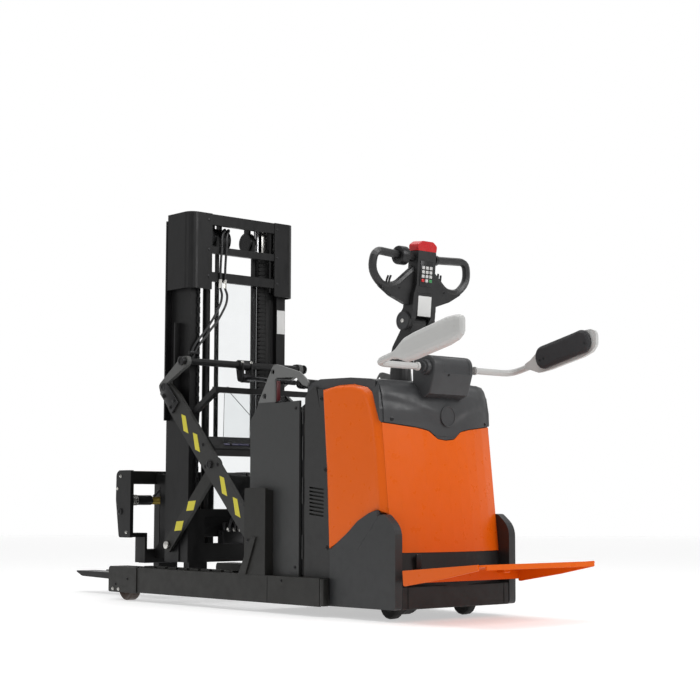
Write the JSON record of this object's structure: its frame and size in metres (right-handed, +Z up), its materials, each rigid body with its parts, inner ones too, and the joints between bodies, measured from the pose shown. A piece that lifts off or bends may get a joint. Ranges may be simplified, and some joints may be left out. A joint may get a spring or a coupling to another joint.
{
  "type": "electric reach stacker truck",
  "caption": "Stand-on electric pallet stacker with scissor-reach mast, straddle legs, folding platform, side gates and tiller.",
  "frame": {"origin": "on the floor at the centre of the machine's length and width", "axes": "+X forward, from the platform to the fork tips; +Y to the machine's left; +Z up"},
  "size_m": [3.37, 0.912, 1.985],
  "materials": {
    "orange": "satin orange powder coat",
    "cover_grey": "dark grey textured moulding",
    "chassis_grey": "satin anthracite paint",
    "panel_grey": "satin mid grey paint",
    "mast_black": "satin black paint",
    "shell_grey": "light grey moulding",
    "pad_dark": "soft dark pad",
    "signal_red": "gloss red",
    "bare_steel": "ground steel",
    "tread_black": "black elastomer",
    "roller_brown": "brown polyurethane",
    "clear_sheet": "clear polycarbonate"
  },
  "bodies": {
    "machine": {"chassis_frame": "chassis_grey", "leg_left": "chassis_grey", "leg_right": "chassis_grey", "battery_block": "pad_dark", "battery_panel_left": "panel_grey", "battery_panel_right": "panel_grey", "pivot_plate_left": "chassis_grey", "pivot_plate_right": "chassis_grey", "corner_cover_left": "cover_grey", "corner_cover_right": "cover_grey", "side_panel_left": "orange", "side_panel_right": "orange", "skirt_left": "cover_grey", "skirt_right": "cover_grey", "rear_door": "orange", "rear_sill": "cover_grey", "top_cover": "cover_grey", "gate_hub": "cover_grey"},
    "load_wheel_unit_left": {"load_wheel_left": "roller_brown"},
    "load_wheel_unit_right": {"load_wheel_right": "roller_brown"},
    "steered_unit": {"drive_unit": "chassis_grey", "tiller_column": "cover_grey"},
    "drive_wheel_unit": {"drive_wheel": "tread_black"},
    "tiller": {"tiller_head": "cover_grey", "reverse_button": "signal_red"},
    "castor_left": {"castor_fork_left": "chassis_grey"},
    "castor_right": {"castor_fork_right": "chassis_grey"},
    "castor_roller_left": {"castor_wheel_left": "tread_black"},
    "castor_roller_right": {"castor_wheel_right": "tread_black"},
    "folding_platform": {"platform": "orange"},
    "side_gate_left": {"gate_left": "shell_grey", "gate_pad_left": "pad_dark"},
    "side_gate_right": {"gate_right": "shell_grey", "gate_pad_right": "pad_dark"},
    "reach_arms": {"reach_arm_left": "chassis_grey", "reach_arm_right": "chassis_grey", "reach_tube": "mast_black", "torsion_box": "mast_black", "hoop_bar": "mast_black", "reach_screen": "clear_sheet"},
    "reach_links": {"reach_link_left": "chassis_grey", "reach_link_right": "chassis_grey"},
    "mast": {"outer_mast": "mast_black", "lift_cylinder_left": "mast_black", "lift_cylinder_right": "mast_black", "mast_guard": "clear_sheet"},
    "mast_inner": {"inner_mast": "mast_black", "energy_chain": "tread_black", "lift_rod_left": "bare_steel", "lift_rod_right": "bare_steel"},
    "fork_carriage": {"carriage_frame": "mast_black", "side_shift_cylinder": "bare_steel", "fork_left": "mast_black", "fork_right": "mast_black"},
    "reach_barrel": {"reach_cylinder_barrel": "mast_black"},
    "reach_rod": {"reach_cylinder_rod": "bare_steel"}
  },
  "joints": [
    {"name": "load_wheel_left_roll", "type": "hinge", "parent": "machine", "child": "load_wheel_unit_left", "pos_m": [0.85203, 0.349, 0.068], "axis": [0, 1, 0], "continuous": true},
    {"name": "load_wheel_right_roll", "type": "hinge", "parent": "machine", "child": "load_wheel_unit_right", "pos_m": [0.85203, -0.349, 0.068], "axis": [0, 1, 0], "continuous": true},
    {"name": "steering_turn", "type": "hinge", "parent": "machine", "child": "steered_unit", "pos_m": [-0.82997, 0, 0.6], "axis": [0, 0, 1], "range_deg": [-90, 90]},
    {"name": "drive_wheel_roll", "type": "hinge", "parent": "steered_unit", "child": "drive_wheel_unit", "pos_m": [-0.82997, 0, 0.115], "axis": [0, 1, 0], "continuous": true},
    {"name": "tiller_tilt", "type": "hinge", "parent": "steered_unit", "child": "tiller", "pos_m": [-0.92997, 0, 1.331], "axis": [0, -1, 0], "range_deg": [-8, 65]},
    {"name": "castor_left_swivel", "type": "hinge", "parent": "machine", "child": "castor_left", "pos_m": [-1.03997, 0.225, 0.17], "axis": [0, 0, 1], "continuous": true},
    {"name": "castor_left_roll", "type": "hinge", "parent": "castor_left", "child": "castor_roller_left", "pos_m": [-1.01197, 0.225, 0.0625], "axis": [0, 1, 0], "continuous": true},
    {"name": "castor_right_swivel", "type": "hinge", "parent": "machine", "child": "castor_right", "pos_m": [-1.03997, -0.225, 0.17], "axis": [0, 0, 1], "continuous": true},
    {"name": "castor_right_roll", "type": "hinge", "parent": "castor_right", "child": "castor_roller_right", "pos_m": [-1.01197, -0.225, 0.0625], "axis": [0, 1, 0], "continuous": true},
    {"name": "platform_fold", "type": "hinge", "parent": "machine", "child": "folding_platform", "pos_m": [-1.21197, 0, 0.205], "axis": [0, 1, 0], "range_deg": [-5, 78]},
    {"name": "gate_left_fold", "type": "hinge", "parent": "machine", "child": "side_gate_left", "pos_m": [-1.12797, 0.175, 1.104], "axis": [0, -1, 0], "range_deg": [0, 100]},
    {"name": "gate_right_fold", "type": "hinge", "parent": "machine", "child": "side_gate_right", "pos_m": [-1.12797, -0.175, 1.104], "axis": [0, -1, 0], "range_deg": [0, 100]},
    {"name": "reach_swing", "type": "hinge", "parent": "machine", "child": "reach_arms", "pos_m": [-0.25997, 0, 0.29], "axis": [0, 1, 0], "range_deg": [-24.5, 6.4]},
    {"name": "reach_link_swing", "type": "hinge", "parent": "reach_arms", "child": "reach_links", "pos_m": [0.13464, 0, 0.69016], "axis": [0, 1, 0], "range_deg": [-12.9, 49.1]},
    {"name": "mast_level", "type": "hinge", "parent": "reach_links", "child": "mast", "pos_m": [0.52925, 0, 0.29], "axis": [0, 1, 0], "range_deg": [-24.6, 6.5]},
    {"name": "mast_rise", "type": "slide", "parent": "mast", "child": "mast_inner", "axis": [0, 0, 1], "range_m": [0, 1.3]},
    {"name": "carriage_rise", "type": "slide", "parent": "mast_inner", "child": "fork_carriage", "axis": [0, 0, 1], "range_m": [0, 1.3]},
    {"name": "reach_barrel_swing", "type": "hinge", "parent": "machine", "child": "reach_barrel", "pos_m": [-0.48997, 0, 1.05], "axis": [0, 1, 0], "range_deg": [-26, 7]},
    {"name": "reach_rod_stroke", "type": "slide", "parent": "reach_barrel", "child": "reach_rod", "axis": [0.9935, 0, 0.1137], "range_m": [-0.327, 0.086]}
  ],
  "couplings": [
    {"joint": "reach_link_swing", "follows": "reach_swing", "ratio": -2},
    {"joint": "mast_level", "follows": "reach_swing", "ratio": 1},
    {"joint": "reach_barrel_swing", "follows": "reach_swing", "ratio": 1.05},
    {"joint": "reach_rod_stroke", "follows": "reach_swing", "m_per_rad": 0.76},
    {"joint": "carriage_rise", "follows": "mast_rise", "ratio": 1}
  ]
}
